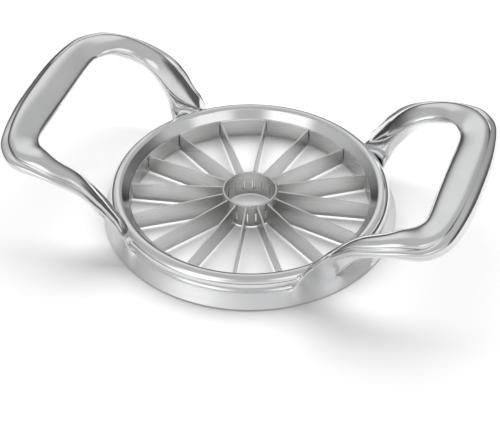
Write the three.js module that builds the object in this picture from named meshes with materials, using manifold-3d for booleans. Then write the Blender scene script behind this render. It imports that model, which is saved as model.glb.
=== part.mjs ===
// Sixteen-wedge apple slicer: a cast ring with two loop handles, a steel band, blades and a corer.
// Millimetres, +Z up. The ring stands on z = 0 and the handles lie along X.
import * as THREE from "three";
import { mergeVertices } from "three/addons/utils/BufferGeometryUtils.js";
import Module from "manifold-3d";

const wasm = await Module();
wasm.setup();

// Ring of the casting
const baseRadius = 55;
const baseChamfer = 0.8;
const wallTaper = 2.9;
const wallHeight = 6;
const grooveDepth = 0.5;
const grooveWidth = 0.5;
const beadRadius = 3;
const beadInset = 2.7;
const beadRise = 3.2;
const stepHeight = 0.25;
const rimWidth = 10;
const rimInnerHeight = 9.2;
const rimEdgeRadius = 0.4;
const lipDepth = 0.9;

// Steel band seated under the lip of the casting
const fitGap = 0.3;
const bandWall = 0.8;
const bandInset = 0.3;
const bandFoot = 0.7;

// Corer tube
const tubeRadius = 10.3;
const tubeWall = 0.8;
const tubeFoot = 0.5;
const tubeHeight = 10.2;
const tubeBevel = 0.6;
const tubeRounding = 0.2;

// Blades
const bladeCount = 16;
const bladeThickness = 0.6;
const bladeFoot = 0.8;
const bladeInnerTop = 10.5;
const bladeOuterTop = 8.1;
const bladeEdgeHeight = 1.6;
const bladeEdgeThickness = 0.15;
const tabHeight = 3.6;
const tabFoot = 3.2;

// Loop handles
const gripReach = 80.4;
const gripWidth = 15.5;
const gripThickness = 9;
const gripHeight = 36;
const gripUnderside = 30;
const legSpan = 39.4;
const creaseDepth = 0.6;

// Facets
const ringFacets = 96;
const tubeFacets = 48;
const beadFacets = 9;
const edgeFacets = 3;
const railSteps = 2;
const sectionSteps = 3;

const quarterTurn = Math.PI / 2;
const halfTurn = Math.PI;
const fullTurn = 2 * Math.PI;
const bladePitch = fullTurn / bladeCount;
const middleShare = 0.5;

// The rim bead ends in a small point at this share of a right angle from the handle axis
const rootTurnShare = 0.6;
const rootAngle = quarterTurn * rootTurnShare;
const wallTopRadius = baseRadius - wallTaper;
const rimInnerRadius = baseRadius - rimWidth;
const beadMiddleRadius = wallTopRadius - beadInset;
const beadMiddleHeight = wallHeight + beadRise;
const bandOuterRadius = rimInnerRadius + bandInset + bandWall;
const seatRadius = bandOuterRadius + fitGap;
const lipHeight = rimInnerHeight - lipDepth;
const bandTop = lipHeight - fitGap;

const castMetal = new THREE.MeshStandardMaterial({ color: 0xc9cacb, roughness: 0.22, metalness: 1 });
const bandMetal = new THREE.MeshStandardMaterial({ color: 0xb9b8b4, roughness: 0.34, metalness: 1 });
const bladeMetal = new THREE.MeshStandardMaterial({ color: 0xc4c4c2, roughness: 0.3, metalness: 1 });
const tubeMetal = new THREE.MeshStandardMaterial({ color: 0xc0c0bd, roughness: 0.28, metalness: 1 });

// Corners closer than this share of the fit gap count as one
const weldShare = 0.001;

// A closed mesh as a solid that can be joined and cut
function toSolid(geometry) {
  const bare = geometry.index ? geometry.toNonIndexed() : geometry.clone();
  bare.deleteAttribute("normal");
  bare.deleteAttribute("uv");
  const merged = mergeVertices(bare, fitGap * weldShare);
  const vertProperties = new Float32Array(merged.attributes.position.array);
  const triVerts = new Uint32Array(merged.index.array);
  return new wasm.Manifold(new wasm.Mesh({ numProp: 3, vertProperties, triVerts }));
}

// A solid back to a geometry that a mesh can show
function toGeometry(solid) {
  const mesh = solid.getMesh();
  const geometry = new THREE.BufferGeometry();
  geometry.setAttribute("position", new THREE.BufferAttribute(mesh.vertProperties, 3));
  geometry.setIndex(new THREE.BufferAttribute(mesh.triVerts, 1));
  geometry.computeVertexNormals();
  return geometry;
}

// A closed profile of radius and height turned about Z
function turned(profile, facets = ringFacets) {
  const points = profile.map(([radius, height]) => new THREE.Vector2(radius, height));
  points.push(points[0].clone());
  const geometry = new THREE.LatheGeometry(points, facets);
  geometry.rotateX(quarterTurn);
  return geometry;
}

// Rings of points joined into one closed skin, with flat or fanned ends
function loft(rings) {
  const count = rings[0].length;
  const positions = rings.flat().flatMap((point) => [point.x, point.y, point.z]);
  const index = [];
  for (let ring = 0; ring + 1 < rings.length; ring += 1) {
    for (let k = 0; k < count; k += 1) {
      const a = ring * count + k;
      const b = ring * count + ((k + 1) % count);
      index.push(a, b, b + count, a, b + count, a + count);
    }
  }
  const last = (rings.length - 1) * count;
  for (let k = 1; k + 1 < count; k += 1) {
    index.push(0, k + 1, k);
    index.push(last, last + k, last + k + 1);
  }
  const geometry = new THREE.BufferGeometry();
  geometry.setAttribute("position", new THREE.Float32BufferAttribute(positions, 3));
  geometry.setIndex(index);
  return geometry;
}

// Points on an arc from one angle to another
function arc(radius, height, size, from, to, steps) {
  return Array.from({ length: steps + 1 }, (_, k) => {
    const angle = from + ((to - from) * k) / steps;
    return [radius + size * Math.cos(angle), height + size * Math.sin(angle)];
  });
}

// Where the bead starts and ends, and where the inner edge starts to round, as shares of a right angle
const beadStartShare = -0.55;
const beadEndShare = 1.35;
const edgeStartShare = 1.45;

// The ring wall leans inwards to a groove, and a round bead rolls over it and slopes to the inner lip
function ringProfile() {
  const bead = arc(
    beadMiddleRadius, beadMiddleHeight, beadRadius,
    quarterTurn * beadStartShare, quarterTurn * beadEndShare, beadFacets,
  );
  const [beadEndRadius, beadEndHeight] = bead[beadFacets];
  const rimEdge = arc(
    rimInnerRadius + rimEdgeRadius, rimInnerHeight - rimEdgeRadius, rimEdgeRadius,
    quarterTurn * edgeStartShare, halfTurn, edgeFacets,
  );
  return [
    [seatRadius, 0],
    [baseRadius - baseChamfer, 0],
    [baseRadius, baseChamfer],
    [wallTopRadius, wallHeight],
    [wallTopRadius - grooveDepth, wallHeight + grooveWidth / 2],
    [wallTopRadius - grooveDepth / 2, wallHeight + grooveWidth],
    ...bead,
    [beadEndRadius, beadEndHeight - stepHeight],
    ...rimEdge,
    [rimInnerRadius, lipHeight],
    [seatRadius, lipHeight],
  ];
}

// Each row is a station of half a handle, from inside the ring wall to the middle of the grip.
// reach and span place it, root pulls it to the ring, turn is its heading from X as a share of a
// right angle, and the rest set the width, the heights of the inner and outer edge, the keel's side
// step and height, how far the top swells and where between the edges it does so, how far the rim
// rises along the outer edge, how far the outer and inner faces swell, and the depth of the crease
// that sets off the rim.
const stationShares = [
  { reach: -0.016, span: 1.06, root: 1, turn: 0.33, width: 0.1, inner: 0.033, outer: -0.05,
    side: 0.065, keel: 0.06, crown: 0, lean: 0.5, rim: 0, flank: 0, belly: 0, crease: 0 },
  { reach: 0.038, span: 1.039, root: 1, turn: 0.3, width: 0.155, inner: 0.117, outer: 0.05,
    side: 0.15, keel: 0.05, crown: 0, lean: 0.5, rim: 0, flank: 0, belly: 0.02, crease: 0.2 },
  { reach: 0.093, span: 1.024, root: 0.6, turn: 0.265, width: 0.32, inner: 0.19, outer: 0.283,
    side: 0.08, keel: 0.06, crown: 0.06, lean: 0.5, rim: 0, flank: -0.06, belly: 0.03, crease: 0.6 },
  { reach: 0.139, span: 1.002, root: 0.2, turn: 0.222, width: 0.44, inner: 0.253, outer: 0.403,
    side: -0.02, keel: 0.07, crown: 0.1, lean: 0.5, rim: 0, flank: -0.12, belly: 0.05, crease: 0.8 },
  { reach: 0.233, span: 0.985, root: 0, turn: -0.01, width: 0.64, inner: 0.41, outer: 0.577,
    side: -0.31, keel: 0.09, crown: 0.2, lean: 0.5, rim: 0, flank: -0.1, belly: 0.05, crease: 1 },
  { reach: 0.272, span: 0.987, root: 0, turn: -0.02, width: 0.685, inner: 0.48, outer: 0.643,
    side: -0.6, keel: 0.15, crown: 0.23, lean: 0.5, rim: 0, flank: -0.1, belly: 0.03, crease: 1 },
  { reach: 0.305, span: 0.99, root: 0, turn: -0.03, width: 0.715, inner: 0.54, outer: 0.7,
    side: -0.316, keel: 0.38, crown: 0.25, lean: 0.5, rim: 0, flank: -0.06, belly: 0.07, crease: 1 },
  { reach: 0.389, span: 0.997, root: 0, turn: -0.035, width: 0.71, inner: 0.713, outer: 0.803,
    side: -0.187, keel: 0.637, crown: 0.27, lean: 0.5, rim: 0, flank: -0.02, belly: 0.07, crease: 1 },
  { reach: 0.492, span: 1.005, root: 0, turn: -0.02, width: 0.71, inner: 0.85, outer: 0.88,
    side: -0.06, keel: 0.83, crown: 0.28, lean: 0.5, rim: 0, flank: 0, belly: 0.08, crease: 1 },
  { reach: 0.611, span: 1.013, root: 0, turn: 0.01, width: 0.71, inner: 0.943, outer: 0.93,
    side: 0.01, keel: 0.937, crown: 0.3, lean: 0.5, rim: 0, flank: 0.02, belly: 0.17, crease: 1 },
  { reach: 0.735, span: 1, root: 0, turn: 0.1, width: 0.715, inner: 1.003, outer: 0.967,
    side: 0.03, keel: 0.983, crown: 0.33, lean: 0.5, rim: 0.04, flank: 0.08, belly: 0.2, crease: 1 },
  { reach: 0.862, span: 0.958, root: 0, turn: 0.31, width: 0.79, inner: 1.033, outer: 0.99,
    side: 0.08, keel: 0.987, crown: 0.34, lean: 0.45, rim: 0.1, flank: 0.12, belly: 0.2, crease: 1.1 },
  { reach: 0.908, span: 0.902, root: 0, turn: 0.52, width: 0.83, inner: 1.02, outer: 1,
    side: 0.11, keel: 0.98, crown: 0.33, lean: 0.4, rim: 0.17, flank: 0.15, belly: 0.17, crease: 1.2 },
  { reach: 0.944, span: 0.83, root: 0, turn: 0.72, width: 0.86, inner: 1.005, outer: 1.01,
    side: 0.13, keel: 0.985, crown: 0.31, lean: 0.36, rim: 0.24, flank: 0.17, belly: 0.14, crease: 1.3 },
  { reach: 0.974, span: 0.67, root: 0, turn: 0.88, width: 0.9, inner: 0.995, outer: 1.02,
    side: 0.16, keel: 0.99, crown: 0.31, lean: 0.33, rim: 0.3, flank: 0.19, belly: 0.13, crease: 1.3 },
  { reach: 0.996, span: 0.335, root: 0, turn: 0.97, width: 0.98, inner: 1, outer: 1.02,
    side: 0.17, keel: 1.005, crown: 0.32, lean: 0.31, rim: 0.34, flank: 0.195, belly: 0.12, crease: 1.3 },
  { reach: 0.998, span: 0, root: 0, turn: 1, width: 1.01, inner: 1.003, outer: 1.02,
    side: 0.18, keel: 1.02, crown: 0.33, lean: 0.3, rim: 0.355, flank: 0.195, belly: 0.12, crease: 1.3 },
];

// A point at a share of the way between two others, pushed out square to the line that joins them
function between(from, to, share, push) {
  const run = to.clone().sub(from);
  const outward = new THREE.Vector2(-run.y, run.x).normalize();
  return from.clone().addScaledVector(run, share).addScaledVector(outward, push);
}

// The crease lies at the first share of the way from the outer edge to the crown and the rim is
// rounded at the second, where it has the third share of its lift
const creaseShare = 0.36;
const edgeCrestShare = 0.15;
const crestLiftShare = 0.5;

// The corners of a handle section from the crease round to the crease, in the upright plane that
// faces along the handle
function stationCorners(share) {
  const rootReach = beadMiddleRadius * Math.cos(rootAngle);
  const rootSpan = beadMiddleRadius * Math.sin(rootAngle);
  const x = rootReach + share.reach * (gripReach - rootReach);
  const y = share.span * legSpan + share.root * (rootSpan - legSpan);
  const rise = gripHeight - wallHeight;
  const halfWidth = (share.width * gripWidth) / 2;
  const inner = new THREE.Vector2(-halfWidth, wallHeight + share.inner * rise);
  const outer = new THREE.Vector2(halfWidth, wallHeight + share.outer * rise);
  const keel = new THREE.Vector2(share.side * gripWidth, share.keel * gripUnderside);
  const crown = between(inner, outer, share.lean, share.crown * gripThickness);
  const depth = share.crease * creaseDepth;
  const lift = share.rim * gripThickness;
  const heading = share.turn * quarterTurn;
  const crease = between(crown, outer, 1 - creaseShare, lift - depth);
  return [
    crease,
    crown,
    inner,
    between(keel, inner, middleShare, share.belly * gripThickness),
    keel,
    between(outer, keel, middleShare, share.flank * gripThickness),
    outer,
    between(crown, outer, 1 - edgeCrestShare, crestLiftShare * lift + depth / 2),
    crease,
  ].map((corner) => new THREE.Vector3(
    x + corner.x * Math.sin(heading),
    y + corner.x * Math.cos(heading),
    corner.y,
  ));
}

// One loop: rails run through the stations, and each section runs round them from crease to crease
function handleLoop() {
  const half = stationShares.map(stationCorners);
  const mirrored = half.slice(0, -1).reverse().map(
    (corners) => corners.map((corner) => new THREE.Vector3(corner.x, -corner.y, corner.z)),
  );
  const stations = [...half, ...mirrored];
  const rails = half[0].map((_, corner) => new THREE.CatmullRomCurve3(
    stations.map((corners) => corners[corner]),
    false,
    "centripetal",
  ));
  const ringCount = (stations.length - 1) * railSteps;
  const rings = [];
  for (let k = 0; k <= ringCount; k += 1) {
    const corners = rails.map((rail) => rail.getPoint(k / ringCount));
    const section = new THREE.CatmullRomCurve3(corners, false, "centripetal");
    const count = (corners.length - 1) * sectionSteps;
    rings.push(Array.from({ length: count }, (_, n) => section.getPoint(n / count)));
  }
  return loft(rings);
}

// The ring and both loops are one casting, cleared inside for the band and the blades
function castFrame() {
  const ring = toSolid(turned(ringProfile()));
  const loop = handleLoop();
  const opposite = loop.clone().rotateZ(halfTurn);
  const core = toSolid(turned([
    [tubeRadius, -gripHeight],
    [seatRadius, -gripHeight],
    [seatRadius, lipHeight],
    [rimInnerRadius, lipHeight],
    [rimInnerRadius, gripHeight],
    [tubeRadius, gripHeight],
  ]));
  const joined = ring.add(toSolid(loop)).add(toSolid(opposite)).subtract(core);
  return toGeometry(joined);
}

// Slots for the blade tabs, cut through a ring wall
function tabSlots(fromRadius, toRadius) {
  const width = bladeThickness + 2 * fitGap;
  const height = tabHeight + 2 * fitGap;
  const box = new THREE.BoxGeometry(toRadius - fromRadius, width, height);
  box.translate((fromRadius + toRadius) / 2, 0, tabFoot + tabHeight / 2);
  const slot = toSolid(box);
  return Array.from({ length: bladeCount }, (_, k) => slot.rotate([
    0, 0, THREE.MathUtils.radToDeg((k + middleShare) * bladePitch),
  ]));
}

function cutSlots(wall, fromRadius, toRadius) {
  const slots = tabSlots(fromRadius, toRadius);
  const cut = slots.reduce((solid, slot) => solid.subtract(slot), toSolid(wall));
  return toGeometry(cut);
}

// Plain steel band, open top and bottom, with one slot for each blade
function bladeBand() {
  const innerRadius = bandOuterRadius - bandWall;
  const wall = turned([
    [innerRadius, bandFoot],
    [bandOuterRadius, bandFoot],
    [bandOuterRadius, bandTop],
    [innerRadius, bandTop],
  ]);
  return cutSlots(wall, innerRadius - bandWall, bandOuterRadius + bandWall);
}

// Corer tube with a bevelled lower edge that does the cutting
function corerTube() {
  const innerRadius = tubeRadius - tubeWall;
  const top = tubeFoot + tubeHeight;
  const wall = turned([
    [innerRadius, tubeFoot],
    [innerRadius + tubeRounding, tubeFoot],
    [tubeRadius, tubeFoot + tubeBevel],
    [tubeRadius, top - tubeRounding],
    [tubeRadius - tubeRounding, top],
    [innerRadius + tubeRounding, top],
    [innerRadius, top - tubeRounding],
  ], tubeFacets);
  return cutSlots(wall, innerRadius - tubeWall, tubeRadius + tubeWall);
}

// A blade section: flat top, flat sides and a lower edge ground from both sides
function bladeSection(radius, foot, top, edge) {
  const half = bladeThickness / 2;
  const thin = edge > 0 ? bladeEdgeThickness / 2 : half;
  return [
    [half, top],
    [-half, top],
    [-half, foot + edge],
    [-thin, foot],
    [thin, foot],
    [half, foot + edge],
  ].map(([side, height]) => new THREE.Vector3(radius, side, height));
}

// One blade along X, with a tab at each end that sits in the slot of the tube or the band
function blade() {
  const innerEnd = tubeRadius - tubeWall + fitGap;
  const innerShoulder = tubeRadius + fitGap;
  const outerShoulder = bandOuterRadius - bandWall - fitGap;
  const outerEnd = bandOuterRadius - fitGap / 2;
  const tabTop = tabFoot + tabHeight;
  return loft([
    bladeSection(innerEnd, tabFoot, tabTop, 0),
    bladeSection(innerShoulder, tabFoot, tabTop, 0),
    bladeSection(innerShoulder, bladeFoot, bladeInnerTop, bladeEdgeHeight),
    bladeSection(outerShoulder, bladeFoot, bladeOuterTop, bladeEdgeHeight),
    bladeSection(outerShoulder, tabFoot, tabTop, 0),
    bladeSection(outerEnd, tabFoot, tabTop, 0),
  ]);
}

const slicer = new THREE.Group();

function addPiece(name, geometry, material) {
  const mesh = new THREE.Mesh(geometry, material);
  mesh.name = name;
  slicer.add(mesh);
  return mesh;
}

addPiece("cast_frame", castFrame(), castMetal);
addPiece("blade_band", bladeBand(), bandMetal);
addPiece("corer_tube", corerTube(), tubeMetal);

// The handle axis falls midway between two blades
const bladeGeometry = blade();
for (let k = 0; k < bladeCount; k += 1) {
  const piece = addPiece(`blade_${String(k + 1).padStart(2, "0")}`, bladeGeometry, bladeMetal);
  piece.rotation.z = (k + middleShare) * bladePitch;
}

export default slicer;
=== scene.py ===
import math

import bmesh
import bpy
import numpy as np
from mathutils import Matrix, Vector, kdtree


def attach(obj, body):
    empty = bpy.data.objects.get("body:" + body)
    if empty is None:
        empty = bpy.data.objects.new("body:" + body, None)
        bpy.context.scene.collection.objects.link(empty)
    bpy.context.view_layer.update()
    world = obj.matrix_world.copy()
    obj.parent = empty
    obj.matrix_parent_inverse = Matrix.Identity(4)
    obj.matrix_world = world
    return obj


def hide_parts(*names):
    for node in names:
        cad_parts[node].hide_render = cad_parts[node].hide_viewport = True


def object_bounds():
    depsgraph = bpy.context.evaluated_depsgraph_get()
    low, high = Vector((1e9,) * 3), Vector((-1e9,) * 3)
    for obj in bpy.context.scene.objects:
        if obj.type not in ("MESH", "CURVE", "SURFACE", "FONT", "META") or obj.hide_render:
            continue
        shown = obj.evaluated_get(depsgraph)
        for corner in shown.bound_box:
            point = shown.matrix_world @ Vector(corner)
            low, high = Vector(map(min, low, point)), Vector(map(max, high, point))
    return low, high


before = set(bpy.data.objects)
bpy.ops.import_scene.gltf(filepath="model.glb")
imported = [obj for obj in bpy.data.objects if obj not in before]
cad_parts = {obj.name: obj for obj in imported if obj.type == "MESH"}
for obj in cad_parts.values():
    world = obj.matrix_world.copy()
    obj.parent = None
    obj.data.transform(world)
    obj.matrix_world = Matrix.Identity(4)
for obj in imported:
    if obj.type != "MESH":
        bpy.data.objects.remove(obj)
cad_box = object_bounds()
mm = 0.001

# Ring of the casting
base_radius = 55 * mm
base_chamfer = 0.8 * mm
wall_taper = 2.9 * mm
wall_height = 6 * mm
groove_depth = 0.5 * mm
groove_width = 0.5 * mm
bead_radius = 3 * mm
bead_inset = 2.7 * mm
bead_rise = 3.2 * mm
step_height = 0.25 * mm
rim_inner_radius = 45 * mm
rim_inner_height = 9.2 * mm
rim_edge_radius = 0.4 * mm
lip_depth = 0.9 * mm
bead_start_share = -0.55
bead_end_share = 1.35
edge_start_share = 1.45

# Band and corer tube
fit_gap = 0.3 * mm
band_wall = 0.8 * mm
band_inset = 0.3 * mm
band_foot = 0.7 * mm
tube_radius = 10.3 * mm
tube_wall = 0.8 * mm
tube_foot = 0.5 * mm
tube_height = 10.2 * mm
tube_bevel = 0.6 * mm
tube_rounding = 0.2 * mm

# Blades
blade_count = 16
blade_thickness = 0.6 * mm
tab_height = 3.6 * mm
tab_foot = 3.2 * mm

# Loop handles
grip_reach = 80.4 * mm
grip_width = 15.5 * mm
grip_thickness = 9 * mm
grip_height = 36 * mm
grip_underside = 30 * mm
leg_span = 39.4 * mm
crease_depth = 0.6 * mm
crease_share = 0.36
shoulder_share = 0.5
shoulder_lift_share = 0.7
edge_crest_share = 0.15
crest_lift_share = 0.5

# Joint of the web with the ring wall, which is softened like a cast fillet
joint_start = 28 * mm
joint_end = 45 * mm
joint_foot = 0.8 * mm
joint_depth = 0.2 * mm
joint_rise = 0.5 * mm
joint_angle = math.radians(14)
skin_tolerance = 0.06 * mm

# Brushed zone of the casting: the outer wall and the web up to where it turns into a leg
satin_rise = 0.1 * mm
satin_web = 0.7 * mm
satin_facing = 0.25
satin_top = 26 * mm
satin_fade = 12 * mm
satin_reach = 52 * mm

quarter_turn = math.pi / 2
full_turn = 2 * math.pi
root_angle = quarter_turn * 0.6
wall_top_radius = base_radius - wall_taper
bead_middle_radius = wall_top_radius - bead_inset
bead_middle_height = wall_height + bead_rise
band_outer_radius = rim_inner_radius + band_inset + band_wall
seat_radius = band_outer_radius + fit_gap
lip_height = rim_inner_height - lip_depth

# Stations of half a handle, from inside the ring wall to the middle of the grip. Each one gives the
# place along and across, the pull to the ring, the heading and the width. Then come the heights of
# the inner and outer edge, the side step and height of the keel, the swell of the crown and its
# place across, the lift of the rim that carries the crease, the swell of the flank and the belly,
# and the depth of the crease. The last station is the middle of the grip.
station_shares = [
    (-0.016, 1.06, 1, 0.33, 0.1, 0.033, -0.05, 0.065, 0.06, 0, 0.5, 0, 0, 0, 0),
    (0.038, 1.039, 1, 0.3, 0.155, 0.09, 0.04, 0.15, 0.05, 0, 0.5, 0, 0, 0.02, 0.2),
    (0.093, 1.024, 0.6, 0.265, 0.32, 0.155, 0.283, 0.08, 0.06, 0.04, 0.5, 0, -0.06, 0.03, 0.6),
    (0.139, 1.002, 0.2, 0.222, 0.44, 0.253, 0.403, -0.02, 0.07, 0.1, 0.5, 0, -0.12, 0.05, 0.8),
    (0.233, 0.985, 0, -0.01, 0.64, 0.41, 0.577, -0.31, 0.09, 0.2, 0.5, 0, -0.1, 0.02, 1),
    (0.272, 0.987, 0, -0.02, 0.685, 0.48, 0.643, -0.6, 0.15, 0.23, 0.5, 0, -0.1, -0.12, 1),
    (0.305, 0.99, 0, -0.03, 0.715, 0.54, 0.7, -0.316, 0.38, 0.25, 0.5, 0, -0.06, 0.03, 1),
    (0.389, 0.997, 0, -0.035, 0.71, 0.713, 0.803, -0.187, 0.637, 0.27, 0.5, 0, -0.02, 0.06, 1),
    (0.492, 1.005, 0, -0.02, 0.71, 0.85, 0.88, -0.06, 0.83, 0.28, 0.5, 0, 0, 0.08, 1),
    (0.611, 1.013, 0, 0.01, 0.71, 0.943, 0.93, 0.01, 0.937, 0.3, 0.5, 0, 0.02, 0.17, 1),
    (0.726, 0.99, 0, 0.141, 0.779, 1.003, 0.967, 0.03, 0.983, 0.31, 0.5, 0.03, 0.08, 0.18, 1),
    (0.838, 0.947, 0, 0.391, 0.916, 1.015, 0.985, 0.1, 0.987, 0.27, 0.45, 0.07, 0.12, 0.16, 1.1),
    (0.897, 0.883, 0, 0.506, 0.94, 1.005, 0.99, 0.12, 0.98, 0.25, 0.4, 0.13, 0.15, 0.14, 1.2),
    (0.942, 0.801, 0, 0.634, 0.938, 0.998, 1, 0.14, 0.985, 0.25, 0.36, 0.2, 0.17, 0.13, 1.2),
    (0.977, 0.656, 0, 0.829, 0.897, 0.993, 1.01, 0.16, 0.99, 0.28, 0.33, 0.27, 0.19, 0.12, 1.2),
    (0.996, 0.335, 0, 0.97, 0.98, 1, 1.02, 0.17, 1.005, 0.32, 0.31, 0.34, 0.195, 0.12, 1.2),
    (0.998, 0, 0, 1, 1.01, 1.003, 1.02, 0.18, 1.02, 0.33, 0.3, 0.355, 0.195, 0.12, 1.2),
]

# Mesh steps
ring_step = 0.9 * mm
section_steps = 7
lathe_turns = 400
tube_turns = 180
bead_steps = 28
edge_steps = 6
lip_steps = 4
fillet_reach = 5.5 * mm
fillet_rounds = 160
finest_edge = 0.02 * mm
sharp_angle = math.radians(30)


def between(start, end, share, push):
    """A point at a share of the way, pushed out square to the line that joins the two ends."""
    run = end - start
    outward = Vector((-run.y, run.x)).normalized()
    return start + run * share + outward * push


def station_corners(row):
    """The corners of one handle section in space, from the crease round to the crease."""
    (
        reach, span, root, turn, width, inner, outer, side, keel,
        crown, lean, rim, flank, belly, crease,
    ) = row
    root_reach = bead_middle_radius * math.cos(root_angle)
    root_span = bead_middle_radius * math.sin(root_angle)
    x = root_reach + reach * (grip_reach - root_reach)
    y = span * leg_span + root * (root_span - leg_span)
    rise = grip_height - wall_height
    half = width * grip_width / 2
    inner_edge = Vector((-half, wall_height + inner * rise))
    outer_edge = Vector((half, wall_height + outer * rise))
    keel_edge = Vector((side * grip_width, keel * grip_underside))
    crown_edge = between(inner_edge, outer_edge, lean, crown * grip_thickness)
    depth = crease * crease_depth
    lift = rim * grip_thickness
    heading = turn * quarter_turn
    crease_edge = between(crown_edge, outer_edge, 1 - crease_share, lift - depth)
    shoulder_push = shoulder_lift_share * lift + depth / 2
    crest_push = crest_lift_share * lift + depth / 2
    corners = [
        crease_edge,
        between(crown_edge, outer_edge, 1 - shoulder_share, shoulder_push),
        crown_edge,
        inner_edge,
        between(keel_edge, inner_edge, 0.5, belly * grip_thickness),
        keel_edge,
        between(outer_edge, keel_edge, 0.5, flank * grip_thickness),
        outer_edge,
        between(crown_edge, outer_edge, 1 - edge_crest_share, crest_push),
        crease_edge,
    ]
    return [(x + c.x * math.sin(heading), y + c.x * math.cos(heading), c.y) for c in corners]


def spline_slopes(points, knots):
    """Slopes of the cubic spline through rows of points, with continuous curvature."""
    count = len(points)
    gaps = np.diff(knots)
    system = np.zeros((count, count))
    steep = np.diff(points, axis=0) / gaps.reshape((-1,) + (1,) * (points.ndim - 1))
    known = np.zeros_like(points)
    for k in range(1, count - 1):
        before, after = gaps[k - 1], gaps[k]
        system[k, k - 1] = after
        system[k, k] = 2 * (before + after)
        system[k, k + 1] = before
        known[k] = 3 * (after * steep[k - 1] + before * steep[k])
    system[0, 0], system[0, 1] = 2, 1
    known[0] = 3 * steep[0]
    system[-1, -1], system[-1, -2] = 2, 1
    known[-1] = 3 * steep[-1]
    flat = np.linalg.solve(system, known.reshape(count, -1))
    return flat.reshape(points.shape)


def smooth_rows(points, step=None, steps=None):
    """Rows of points carried on by one cubic spline, at an even step or a count for each gap."""
    points = np.asarray(points, float)
    reach = np.linalg.norm(np.diff(points, axis=0), axis=-1)
    reach = reach.reshape(len(reach), -1).mean(axis=1)
    knots = np.concatenate([[0], np.cumsum(np.sqrt(reach))])
    slopes = spline_slopes(points, knots)
    rows = []
    for k in range(len(points) - 1):
        gap = knots[k + 1] - knots[k]
        pieces = steps or max(2, round(reach[k] / step))
        for n in range(pieces):
            t = n / pieces
            a = 2 * t ** 3 - 3 * t ** 2 + 1
            b = t ** 3 - 2 * t ** 2 + t
            c = 3 * t ** 2 - 2 * t ** 3
            d = t ** 3 - t ** 2
            start = a * points[k] + b * gap * slopes[k]
            rows.append(start + c * points[k + 1] + d * gap * slopes[k + 1])
    rows.append(points[-1])
    return np.array(rows)


def mesh_from_rows(name, rows, capped):
    """A skin over closed rows of points, with end caps or joined end to end."""
    count = rows.shape[1]
    faces = []
    last = len(rows) if not capped else len(rows) - 1
    for ring in range(last):
        following = (ring + 1) % len(rows)
        for k in range(count):
            ahead = (k + 1) % count
            faces.append((
                ring * count + k,
                ring * count + ahead,
                following * count + ahead,
                following * count + k,
            ))
    if capped:
        faces.append(tuple(reversed(range(count))))
        start = (len(rows) - 1) * count
        faces.append(tuple(range(start, start + count)))
    mesh = bpy.data.meshes.new(name)
    mesh.from_pydata([tuple(p) for p in rows.reshape(-1, 3)], [], faces)
    mesh.update()
    return mesh


def point_outwards(mesh):
    """Faces turned so that the closed skin faces out."""
    work = bmesh.new()
    work.from_mesh(mesh)
    bmesh.ops.recalc_face_normals(work, faces=work.faces)
    work.to_mesh(mesh)
    work.free()


def new_piece(name, mesh):
    piece = bpy.data.objects.new(name, mesh)
    bpy.context.scene.collection.objects.link(piece)
    return piece


def handle_loop(name):
    """One loop handle, from one buried root round the grip to the other."""
    half = [station_corners(row) for row in station_shares]
    mirrored = [[(x, -y, z) for x, y, z in corners] for corners in reversed(half[:-1])]
    rails = smooth_rows(half + mirrored, step=ring_step)
    sections = np.array([smooth_rows(corners, steps=section_steps)[:-1] for corners in rails])
    mesh = mesh_from_rows(name, sections, capped=True)
    point_outwards(mesh)
    return new_piece(name, mesh)


def arc(radius, height, size, start, end, steps):
    """Profile points on an arc."""
    angles = [start + (end - start) * k / steps for k in range(steps + 1)]
    return [(radius + size * math.cos(a), height + size * math.sin(a)) for a in angles]


def turned(name, profile, turns=lathe_turns):
    """A closed profile of radius and height turned about Z."""
    rows = []
    for k in range(turns):
        angle = full_turn * k / turns
        rows.append([(r * math.cos(angle), r * math.sin(angle), z) for r, z in profile])
    mesh = mesh_from_rows(name, np.array(rows), capped=False)
    point_outwards(mesh)
    return new_piece(name, mesh)


def filled(profile, step):
    """A closed profile with points added on its long straight stretches."""
    points = []
    for (r0, z0), (r1, z1) in zip(profile, profile[1:] + profile[:1]):
        pieces = max(1, round(math.hypot(r1 - r0, z1 - z0) / step))
        for n in range(pieces):
            points.append((r0 + (r1 - r0) * n / pieces, z0 + (z1 - z0) * n / pieces))
    return points


def ring_profile():
    """The ring wall, its groove, the round bead and the slope to the inner lip."""
    bead = arc(
        bead_middle_radius, bead_middle_height, bead_radius,
        quarter_turn * bead_start_share, quarter_turn * bead_end_share, bead_steps,
    )
    bead_end_radius, bead_end_height = bead[-1]
    rim_edge = arc(
        rim_inner_radius + rim_edge_radius, rim_inner_height - rim_edge_radius, rim_edge_radius,
        quarter_turn * edge_start_share, math.pi, edge_steps,
    )
    edge = 0.15 * mm
    return [
        (seat_radius, 0),
        (base_radius - base_chamfer, 0),
        (base_radius - base_chamfer * 0.3, base_chamfer * 0.3),
        (base_radius, base_chamfer),
        (wall_top_radius + edge, wall_height - edge * 2),
        (wall_top_radius, wall_height),
        (wall_top_radius - groove_depth, wall_height + groove_width / 2),
        (wall_top_radius - groove_depth, wall_height + groove_width * 0.8),
        (wall_top_radius - groove_depth / 2, wall_height + groove_width),
        *bead,
        (bead_end_radius, bead_end_height - step_height),
        *rim_edge,
        (rim_inner_radius, lip_height),
        (seat_radius, lip_height),
    ]


def combine(target, other, operation):
    """One solid joined to, or cut from, another. The other one is used up."""
    modifier = target.modifiers.new("combine", "BOOLEAN")
    modifier.operation = operation
    modifier.solver = "MANIFOLD"
    modifier.object = other
    applied = target.evaluated_get(bpy.context.evaluated_depsgraph_get())
    mesh = bpy.data.meshes.new_from_object(applied)
    target.modifiers.clear()
    target.data = mesh
    bpy.data.objects.remove(other)


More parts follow.
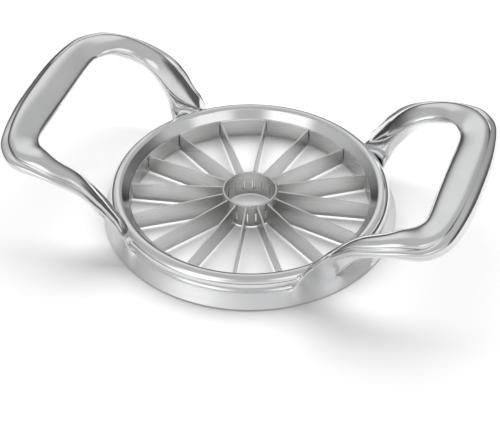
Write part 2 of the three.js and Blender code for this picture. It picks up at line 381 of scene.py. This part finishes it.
def cast_body():
    """The ring and both loops as one casting."""
    ring = turned("cast_body", filled(ring_profile(), ring_step))
    first = handle_loop("first_loop")
    second = handle_loop("second_loop")
    second.data.transform(Matrix.Rotation(math.pi, 4, "Z"))
    core = turned("core", [
        (tube_radius, -grip_height),
        (seat_radius, -grip_height),
        (seat_radius, lip_height),
        (rim_inner_radius, lip_height),
        (rim_inner_radius, grip_height * 2),
        (tube_radius, grip_height * 2),
    ])
    for loop in (first, second):
        combine(ring, loop, "UNION")
    combine(ring, core, "DIFFERENCE")
    return ring


def soften_seams(work, is_seam, moves, reach, rounds):
    """Rounds off the skin beside some seams, like a fillet that fades out with distance.

    is_seam picks the edges, and moves says which places of the skin may move.
    """
    seams = [v for e in work.edges if len(e.link_faces) == 2 and is_seam(e) for v in e.verts]
    tree = kdtree.KDTree(len(seams))
    for index, vertex in enumerate(seams):
        tree.insert(vertex.co, index)
    tree.balance()

    def gap(vertex):
        return tree.find(vertex.co)[2]

    for _ in range(2):
        long_edges = [
            e for e in work.edges
            if e.calc_length() > reach / 6 and gap(e.verts[0]) < reach and gap(e.verts[1]) < reach
        ]
        bmesh.ops.subdivide_edges(work, edges=long_edges, cuts=1)
        bmesh.ops.triangulate(work, faces=work.faces)
        bmesh.ops.dissolve_degenerate(work, dist=finest_edge, edges=work.edges)
    weights = {v: 1 - (gap(v) / reach) ** 2 for v in work.verts if moves(v.co) and gap(v) < reach}
    for _ in range(rounds):
        moved = {}
        for vertex, weight in weights.items():
            around = [e.other_vert(vertex).co for e in vertex.link_edges]
            middle = sum(around, Vector()) / len(around)
            moved[vertex] = vertex.co.lerp(middle, 0.5 * weight)
        for vertex, spot in moved.items():
            vertex.co = spot


def on_bead(spot):
    """On the round bead's own skin, which stays as it is turned."""
    out = math.hypot(spot.x, spot.y)
    away = math.hypot(out - bead_middle_radius, spot.z - bead_middle_height)
    return abs(away - bead_radius) < skin_tolerance


def outside_wall(spot):
    """The outer wall and the web's outer face, below and beside the end of the bead."""
    out = math.hypot(spot.x, spot.y)
    beside = out > wall_top_radius - joint_depth and abs(spot.x) > joint_start
    return beside and spot.z > joint_foot and not on_bead(spot)


def web_seam(edge):
    """An edge where the web's outer face meets the ring wall."""
    if not all(outside_wall(v.co) for v in edge.verts):
        return False
    middle = (edge.verts[0].co + edge.verts[1].co) / 2
    if middle.z > wall_height + joint_rise or abs(middle.x) > joint_end:
        return False
    return edge.calc_face_angle(0) > joint_angle


def fillet_roots(piece):
    """Rounds the joints where each handle grows out of the ring."""
    work = bmesh.new()
    work.from_mesh(piece.data)
    bmesh.ops.triangulate(work, faces=work.faces)
    soften_seams(work, web_seam, outside_wall, fillet_reach, fillet_rounds)
    work.to_mesh(piece.data)
    work.free()


def smooth_shading(piece, angle):
    piece.data.polygons.foreach_set("use_smooth", [True] * len(piece.data.polygons))
    piece.data.set_sharp_from_angle(angle=angle)
    piece.data.update()


def cut_slots(wall, from_radius, to_radius):
    """Sixteen slots for the blade tabs, through a ring wall."""
    slots = bmesh.new()
    for k in range(blade_count):
        turn = Matrix.Rotation((k + 0.5) * full_turn / blade_count, 4, "Z")
        middle = Vector(((from_radius + to_radius) / 2, 0, tab_foot + tab_height / 2))
        size = Matrix.Diagonal((
            to_radius - from_radius,
            blade_thickness + 2 * fit_gap,
            tab_height + 2 * fit_gap,
            1,
        ))
        bmesh.ops.create_cube(slots, size=1, matrix=turn @ Matrix.Translation(middle) @ size)
    mesh = bpy.data.meshes.new("slots")
    slots.to_mesh(mesh)
    slots.free()
    combine(wall, new_piece("slots", mesh), "DIFFERENCE")


def blade_band_piece():
    """The thin steel band under the lip, with a fine rolled edge and a slot for each blade."""
    inner = band_outer_radius - band_wall
    top = lip_height - fit_gap
    edge = 0.12 * mm
    band = turned("band", filled([
        (inner + edge, band_foot),
        (band_outer_radius - edge, band_foot),
        (band_outer_radius, band_foot + edge),
        (band_outer_radius, top - edge),
        (band_outer_radius - edge, top),
        (inner + edge, top),
        (inner, top - edge),
        (inner, band_foot + edge),
    ], ring_step * 2))
    cut_slots(band, inner - band_wall, band_outer_radius + band_wall)
    return band


def corer_tube_piece():
    """The corer tube, rounded at the top and bevelled to a cutting edge below."""
    inner = tube_radius - tube_wall
    top = tube_foot + tube_height
    edge = tube_rounding
    lip = arc(tube_radius - edge, top - edge, edge, 0, quarter_turn, lip_steps)
    inside = arc(inner + edge, top - edge, edge, quarter_turn, 2 * quarter_turn, lip_steps)
    tube = turned("corer", filled([
        (inner, tube_foot),
        (inner + edge, tube_foot),
        (tube_radius, tube_foot + tube_bevel),
        *lip,
        *inside,
    ], ring_step * 2), turns=tube_turns)
    cut_slots(tube, inner - tube_wall, tube_radius + tube_wall)
    return tube


# Surface effects shared by the metals

def add_node(tree, kind, **inputs):
    """A node with inputs set to values or linked to sockets. i0 is its first input, and so on."""
    node = tree.nodes.new(kind)
    for name, value in inputs.items():
        by_place = name[0] == "i" and name[1:].isdigit()
        socket = node.inputs[int(name[1:]) if by_place else name]
        if isinstance(value, bpy.types.NodeSocket):
            tree.links.new(value, socket)
        else:
            socket.default_value = value
    return node


def new_group(name, inputs, outputs):
    """An empty node group with named sockets."""
    group = bpy.data.node_groups.new(name, "ShaderNodeTree")
    for label, kind, value in inputs:
        socket = group.interface.new_socket(label, in_out="INPUT", socket_type=kind)
        if value is not None:
            socket.default_value = value
    for label, kind in outputs:
        group.interface.new_socket(label, in_out="OUTPUT", socket_type=kind)
    start = group.nodes.new("NodeGroupInput")
    end = group.nodes.new("NodeGroupOutput")
    return group, start.outputs, end.inputs


def math_node(tree, operation, first, second=0.0):
    node = add_node(tree, "ShaderNodeMath", i0=first, i1=second)
    node.operation = operation
    return node.outputs[0]


def range_node(tree, value, low, high, to_low, to_high):
    node = add_node(tree, "ShaderNodeMapRange", i0=value, i1=low, i2=high, i3=to_low, i4=to_high)
    node.clamp = True
    return node.outputs[0]


def polar_group():
    """Place as distance from the axis, angle round it and height, and that distance alone."""
    group, given, out = new_group(
        "place round the axis",
        [("Position", "NodeSocketVector", None)],
        [("Place", "NodeSocketVector"), ("Radius", "NodeSocketFloat")],
    )
    split = add_node(group, "ShaderNodeSeparateXYZ", Vector=given["Position"])
    flat = add_node(group, "ShaderNodeCombineXYZ", X=split.outputs["X"], Y=split.outputs["Y"])
    size = add_node(group, "ShaderNodeVectorMath", i0=flat.outputs[0])
    size.operation = "LENGTH"
    radius = size.outputs["Value"]
    angle = math_node(group, "ARCTAN2", split.outputs["Y"], split.outputs["X"])
    place = add_node(group, "ShaderNodeCombineXYZ", X=radius, Y=angle, Z=split.outputs["Z"])
    group.links.new(place.outputs[0], out["Place"])
    group.links.new(radius, out["Radius"])
    return group


def brushing_group():
    """Fine parallel marks: noise drawn out along one direction."""
    group, given, out = new_group(
        "brushing",
        [("Place", "NodeSocketVector", None), ("Draw", "NodeSocketVector", (1, 1, 1)),
         ("Contrast", "NodeSocketFloat", 0.2)],
        [("Mask", "NodeSocketFloat"), ("Height", "NodeSocketFloat")],
    )
    drawn = add_node(group, "ShaderNodeVectorMath", i0=given["Place"], i1=given["Draw"])
    drawn.operation = "MULTIPLY"
    coarse = add_node(group, "ShaderNodeTexNoise", Vector=drawn.outputs[0], Scale=1.0, Detail=3.0)
    fine = add_node(group, "ShaderNodeTexNoise", Vector=drawn.outputs[0], Scale=3.7, Detail=2.0)
    both = math_node(group, "MULTIPLY_ADD", fine.outputs["Fac"], 0.6)
    group.links.new(coarse.outputs["Fac"], both.node.inputs[2])
    low = math_node(group, "SUBTRACT", 0.8, given["Contrast"])
    high = math_node(group, "ADD", 0.8, given["Contrast"])
    mask = range_node(group, both, low, high, 0.0, 1.0)
    group.links.new(mask, out["Mask"])
    group.links.new(both, out["Height"])
    return group


def handling_group():
    """Soft smudges and a few stray hairline marks from use and wiping."""
    group, given, out = new_group(
        "handling marks",
        [("Position", "NodeSocketVector", None), ("Smudge Size", "NodeSocketFloat", 60.0),
         ("Line Size", "NodeSocketFloat", 260.0)],
        [("Smudges", "NodeSocketFloat"), ("Lines", "NodeSocketFloat")],
    )
    cloud = add_node(
        group, "ShaderNodeTexNoise",
        Vector=given["Position"], Scale=given["Smudge Size"], Detail=4.0, Roughness=0.6,
    )
    smudges = range_node(group, cloud.outputs["Fac"], 0.42, 0.68, 0.0, 1.0)
    bent = add_node(
        group, "ShaderNodeTexNoise",
        Vector=given["Position"], Scale=given["Line Size"], Detail=1.0,
    )
    distance = math_node(group, "ABSOLUTE", math_node(group, "SUBTRACT", bent.outputs["Fac"], 0.5))
    lines = range_node(group, distance, 0.0, 0.004, 1.0, 0.0)
    patch = add_node(group, "ShaderNodeTexNoise", Vector=given["Position"], Scale=90.0, Detail=0.0)
    kept = range_node(group, patch.outputs["Fac"], 0.55, 0.62, 0.0, 1.0)
    group.links.new(smudges, out["Smudges"])
    group.links.new(math_node(group, "MULTIPLY", lines, kept), out["Lines"])
    return group


def edge_rub_group():
    """Edges a little brighter and smoother where hands and boards rub them."""
    group, given, out = new_group(
        "edge rub",
        [("Narrow", "NodeSocketFloat", 0.53), ("Wide", "NodeSocketFloat", 0.6)],
        [("Mask", "NodeSocketFloat")],
    )
    shape = add_node(group, "ShaderNodeNewGeometry")
    mask = range_node(group, shape.outputs["Pointiness"], given["Narrow"], given["Wide"], 0.0, 1.0)
    group.links.new(mask, out["Mask"])
    return group


effects = {
    "place": polar_group(),
    "brushing": brushing_group(),
    "handling": handling_group(),
    "rub": edge_rub_group(),
}


def effect(tree, name, **inputs):
    """One of the shared effects, placed in a material with its own values."""
    node = tree.nodes.new("ShaderNodeGroup")
    node.node_tree = effects[name]
    for label, value in inputs.items():
        socket = node.inputs[label.replace("_", " ")]
        if isinstance(value, bpy.types.NodeSocket):
            tree.links.new(value, socket)
        else:
            socket.default_value = value
    return node.outputs


def metal(name, tint, roughness):
    """A metal with nothing on it yet: its tree, its shader and the place on the part."""
    material = bpy.data.materials.new(name)
    material.use_nodes = True
    tree = material.node_tree
    shader = tree.nodes["Principled BSDF"]
    shader.inputs["Base Color"].default_value = (*tint, 1)
    shader.inputs["Metallic"].default_value = 1
    shader.inputs["Roughness"].default_value = roughness
    position = tree.nodes.new("ShaderNodeTexCoord").outputs["Object"]
    return material, tree, shader, position


def tinted(tree, shader, mask, dark, light):
    """Base colour between two tones by a mask."""
    mix = tree.nodes.new("ShaderNodeMix")
    mix.data_type = "RGBA"
    tree.links.new(mask, mix.inputs["Factor"])
    mix.inputs["A"].default_value = (*dark, 1)
    mix.inputs["B"].default_value = (*light, 1)
    tree.links.new(mix.outputs["Result"], shader.inputs["Base Color"])


def raised(tree, shader, height, strength, distance):
    """A fine relief from a height."""
    bump = add_node(tree, "ShaderNodeBump", Strength=strength, Distance=distance, Height=height)
    tree.links.new(bump.outputs["Normal"], shader.inputs["Normal"])


def polished_casting():
    """Polished die casting: mirror-like tops and bead, satin outer wall, rubbed edges."""
    material, tree, shader, position = metal("polished casting", (0.8, 0.803, 0.808), 0.16)
    place = effect(tree, "place", Position=position)
    wall = effect(tree, "brushing", Place=place["Place"], Draw=(900, 6, 2600), Contrast=0.16)
    marks = effect(tree, "handling", Position=position, Smudge_Size=55.0, Line_Size=240.0)
    rub = effect(tree, "rub", Narrow=0.52, Wide=0.58)
    satin = tree.nodes.new("ShaderNodeAttribute")
    satin.attribute_name = "satin"
    satin = satin.outputs["Fac"]
    smooth = math_node(tree, "MULTIPLY_ADD", marks["Smudges"], 0.05)
    smooth.node.inputs[2].default_value = 0.09
    worn = math_node(tree, "MULTIPLY_ADD", marks["Lines"], 0.08)
    tree.links.new(smooth, worn.node.inputs[2])
    rubbed = math_node(tree, "MULTIPLY_ADD", rub["Mask"], -0.04)
    tree.links.new(worn, rubbed.node.inputs[2])
    brushed = math_node(tree, "MULTIPLY_ADD", wall["Mask"], 0.12)
    brushed.node.inputs[2].default_value = 0.3
    blend = tree.nodes.new("ShaderNodeMix")
    tree.links.new(satin, blend.inputs["Factor"])
    tree.links.new(rubbed, blend.inputs["A"])
    tree.links.new(brushed, blend.inputs["B"])
    tree.links.new(blend.outputs["Result"], shader.inputs["Roughness"])
    tinted(tree, shader, marks["Smudges"], (0.8, 0.803, 0.808), (0.765, 0.77, 0.78))
    relief = math_node(tree, "MULTIPLY", wall["Height"], satin)
    raised(tree, shader, relief, 0.25, 0.02 * mm)
    return material


def brushed_steel(name, tint, deep, draw, roughness, contrast):
    """Stainless steel with fine parallel marks drawn along one direction round the axis."""
    material, tree, shader, position = metal(name, tint, roughness)
    place = effect(tree, "place", Position=position)
    grain = effect(tree, "brushing", Place=place["Place"], Draw=draw, Contrast=contrast)
    marks = effect(tree, "handling", Position=position, Smudge_Size=80.0, Line_Size=300.0)
    rough = math_node(tree, "MULTIPLY_ADD", grain["Mask"], 0.14)
    rough.node.inputs[2].default_value = roughness - 0.05
    total = math_node(tree, "MULTIPLY_ADD", marks["Smudges"], 0.06)
    tree.links.new(rough, total.node.inputs[2])
    tree.links.new(total, shader.inputs["Roughness"])
    tinted(tree, shader, grain["Mask"], deep, tint)
    raised(tree, shader, grain["Height"], 0.3, 0.02 * mm)
    return material


def dress(piece, material):
    piece.data.materials.clear()
    piece.data.materials.append(material)


def mark_satin(piece):
    """One on the brushed outer wall and the web, nothing on the polished rest."""
    values = []
    for vertex in piece.data.vertices:
        spot, normal = vertex.co, vertex.normal
        out = math.hypot(spot.x, spot.y)
        facing = (spot.x * normal.x + spot.y * normal.y) / max(out, mm)
        on_wall = spot.z < wall_height + satin_rise or out > wall_top_radius + satin_web
        brushed = on_wall and facing > satin_facing and abs(spot.x) < satin_reach
        fade = min(1, max(0, (satin_top - spot.z) / satin_fade))
        values.append(fade if brushed else 0)
    layer = piece.data.attributes.new("satin", "FLOAT", "POINT")
    layer.data.foreach_set("value", values)


def toward(azimuth, elevation):
    """A direction from degrees clockwise of +Y and degrees above the floor."""
    turn, rise = math.radians(azimuth), math.radians(elevation)
    return (math.sin(turn) * math.cos(rise), math.cos(turn) * math.cos(rise), math.sin(rise))


def tone_by_height(tree, height, stops):
    """Grey of the surround from the horizon to straight up."""
    ramp = tree.nodes.new("ShaderNodeValToRGB")
    while len(ramp.color_ramp.elements) < len(stops):
        ramp.color_ramp.elements.new(0.5)
    for element, (spot, tone) in zip(ramp.color_ramp.elements, stops):
        element.position = spot
        element.color = (tone, tone, tone, 1)
    tree.links.new(height, ramp.inputs["Fac"])
    return add_node(tree, "ShaderNodeRGBToBW", Color=ramp.outputs["Color"]).outputs[0]


def soft_card(tree, direction, level, aim, inner, outer, tone):
    """A round soft-edged card in the surround, lighter or darker than what is behind it."""
    facing = add_node(tree, "ShaderNodeVectorMath", i0=direction, i1=toward(*aim))
    facing.operation = "DOT_PRODUCT"
    start, full = math.cos(math.radians(outer)), math.cos(math.radians(inner))
    edge = add_node(
        tree, "ShaderNodeMapRange",
        i0=facing.outputs["Value"], i1=start, i2=full, i3=level, i4=tone,
    )
    edge.interpolation_type = "SMOOTHSTEP"
    return edge.outputs[0]


def studio():
    """A white surround for the camera, and a grey tent with a few cards for the metal to mirror."""
    world = bpy.data.worlds.new("studio")
    bpy.context.scene.world = world
    world.use_nodes = True
    tree = world.node_tree
    tree.nodes.clear()
    direction = tree.nodes.new("ShaderNodeTexCoord").outputs["Generated"]
    split = add_node(tree, "ShaderNodeSeparateXYZ", Vector=direction)
    height = split.outputs["Z"]
    front = tone_by_height(tree, height, front_tones)
    back = tone_by_height(tree, height, back_tones)
    facing = add_node(tree, "ShaderNodeVectorMath", i0=direction, i1=toward(camera_azimuth, 0))
    facing.operation = "DOT_PRODUCT"
    share = range_node(tree, facing.outputs["Value"], all_back, all_front, 0.0, 1.0)
    blend = add_node(tree, "ShaderNodeMapRange", i0=share, i1=0.0, i2=1.0, i3=back, i4=front)
    level = blend.outputs[0]
    for aim, inner, outer, tone in surround_cards:
        level = soft_card(tree, direction, level, aim, inner, outer, tone)
    rays = tree.nodes.new("ShaderNodeLightPath").outputs
    strength = range_node(tree, rays["Is Diffuse Ray"], 0.0, 1.0, 1.0, surround_light_share)
    soft = add_node(tree, "ShaderNodeBackground", Color=level, Strength=strength)
    white = add_node(tree, "ShaderNodeBackground", Color=(1, 1, 1, 1))
    mix = add_node(
        tree, "ShaderNodeMixShader",
        i0=rays["Is Camera Ray"], i1=soft.outputs[0], i2=white.outputs[0],
    )
    add_node(tree, "ShaderNodeOutputWorld", Surface=mix.outputs[0])


# Side of the camera in degrees clockwise of +Y, and how far a direction leans to it, as a cosine,
# where the surround is all back and where it is all front
camera_azimuth = 161
all_back, all_front = -0.25, 0.45

# Greys of the surround in front of the part and behind it, by the sine of the height
front_tones = [
    (0.0, 0.1), (0.06, 0.12), (0.18, 0.8), (0.42, 0.86), (0.65, 0.66), (0.9, 0.54), (1.0, 0.53),
]
back_tones = [
    (0.0, 0.02), (0.06, 0.04), (0.2, 0.2), (0.4, 0.38),
    (0.55, 0.48), (0.7, 0.55), (0.9, 0.56), (1.0, 0.53),
]

# Cards: azimuth and elevation, full and soft radius in degrees, and grey
surround_cards = [
    ((330, 34), 6, 24, 0.85),
    ((60, 12), 14, 34, 0.12),
    ((203, 50), 9, 20, 1.3),
    ((203, 24), 10, 26, 1.5),
    ((121, 50), 8, 18, 1.1),
]

# Share of the surround's light that falls on the table. The lamp gives the rest
surround_light_share = 0.25


def softbox(name, place, size, power):
    """A rectangular soft light aimed at the middle of the part, which the metal doesn't mirror."""
    light = bpy.data.lights.new(name, "AREA")
    light.shape = "RECTANGLE"
    light.size, light.size_y = size
    light.energy = power
    lamp = bpy.data.objects.new(name, light)
    lamp.location = place
    lamp.rotation_euler = Vector(place).to_track_quat("Z", "Y").to_euler()
    lamp.visible_glossy = False
    bpy.context.scene.collection.objects.link(lamp)


# How far from the axis the table starts to fade to white and where it is all white, and the light
# it gives off near the part. Only the camera sees either
white_from = 140 * mm
white_beyond = 360 * mm
table_lift = 0.12


def pale_floor():
    """A wide white table top that keeps the part's shadow and fades to white away from it."""
    reach = 4.0
    corners = [(-reach, -reach, 0), (reach, -reach, 0), (reach, reach, 0), (-reach, reach, 0)]
    mesh = bpy.data.meshes.new("floor")
    mesh.from_pydata(corners, [], [(0, 1, 2, 3)])
    floor = new_piece("floor", mesh)
    floor.location.z = cad_box[0].z
    material = bpy.data.materials.new("white table top")
    material.use_nodes = True
    tree = material.node_tree
    shader = tree.nodes["Principled BSDF"]
    shader.inputs["Base Color"].default_value = (0.85, 0.85, 0.85, 1)
    shader.inputs["Roughness"].default_value = 0.7
    shader.inputs["Specular IOR Level"].default_value = 0.1
    position = tree.nodes.new("ShaderNodeTexCoord").outputs["Object"]
    away = effect(tree, "place", Position=position)["Radius"]
    fade = range_node(tree, away, white_from, white_beyond, table_lift, 1.0)
    seen = tree.nodes.new("ShaderNodeLightPath").outputs["Is Camera Ray"]
    lift = math_node(tree, "MULTIPLY", seen, fade)
    shader.inputs["Emission Color"].default_value = (1, 1, 1, 1)
    tree.links.new(lift, shader.inputs["Emission Strength"])
    floor.data.materials.append(material)


def place_piece(piece, node, material):
    """A finished piece that stands for one node of the construction."""
    smooth_shading(piece, sharp_angle)
    dress(piece, material)
    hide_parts(node)
    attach(piece, "root")


def set_view():
    """The camera of the photograph's large view."""
    elevation = math.radians(40.65)
    azimuth = math.radians(18.97)
    distance = 656.9 * mm
    focal_pixels = 1736.8
    frame_pixels = 500
    middle_row = 223
    origin_row = 210.45
    camera_data = bpy.data.cameras.new("view")
    camera_data.sensor_fit = "HORIZONTAL"
    camera_data.sensor_width = 36
    camera_data.lens = focal_pixels / frame_pixels * camera_data.sensor_width
    camera_data.clip_start = 0.01
    camera_data.clip_end = 20
    camera = bpy.data.objects.new("view", camera_data)
    pitch = elevation + math.atan((middle_row - origin_row) / focal_pixels)
    camera.location = Vector((
        math.sin(azimuth) * math.cos(elevation),
        -math.cos(azimuth) * math.cos(elevation),
        math.sin(elevation),
    )) * distance
    camera.rotation_euler = (quarter_turn - pitch, 0, azimuth)
    bpy.context.scene.collection.objects.link(camera)
    bpy.context.scene.camera = camera


body = cast_body()
fillet_roots(body)
mark_satin(body)
place_piece(body, "cast_frame", polished_casting())
band_steel = brushed_steel(
    "band steel", tint=(0.72, 0.715, 0.7), deep=(0.6, 0.595, 0.58),
    draw=(400, 3, 2400), roughness=0.34, contrast=0.2,
)
place_piece(blade_band_piece(), "blade_band", band_steel)
tube_steel = brushed_steel(
    "tube steel", tint=(0.74, 0.74, 0.73), deep=(0.6, 0.6, 0.59),
    draw=(300, 2, 2000), roughness=0.3, contrast=0.2,
)
place_piece(corer_tube_piece(), "corer_tube", tube_steel)
blade_steel = brushed_steel(
    "blade steel", tint=(0.76, 0.76, 0.755), deep=(0.66, 0.66, 0.655),
    draw=(40, 9, 2200), roughness=0.3, contrast=0.22,
)
for name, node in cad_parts.items():
    if name.startswith("blade_") and name != "blade_band":
        dress(node, blade_steel)

studio()
pale_floor()
softbox("rear softbox", (-0.1, 0.58, 0.97), (2.2, 1.1), 26)
set_view()
bpy.context.scene.view_settings.view_transform = "Standard"
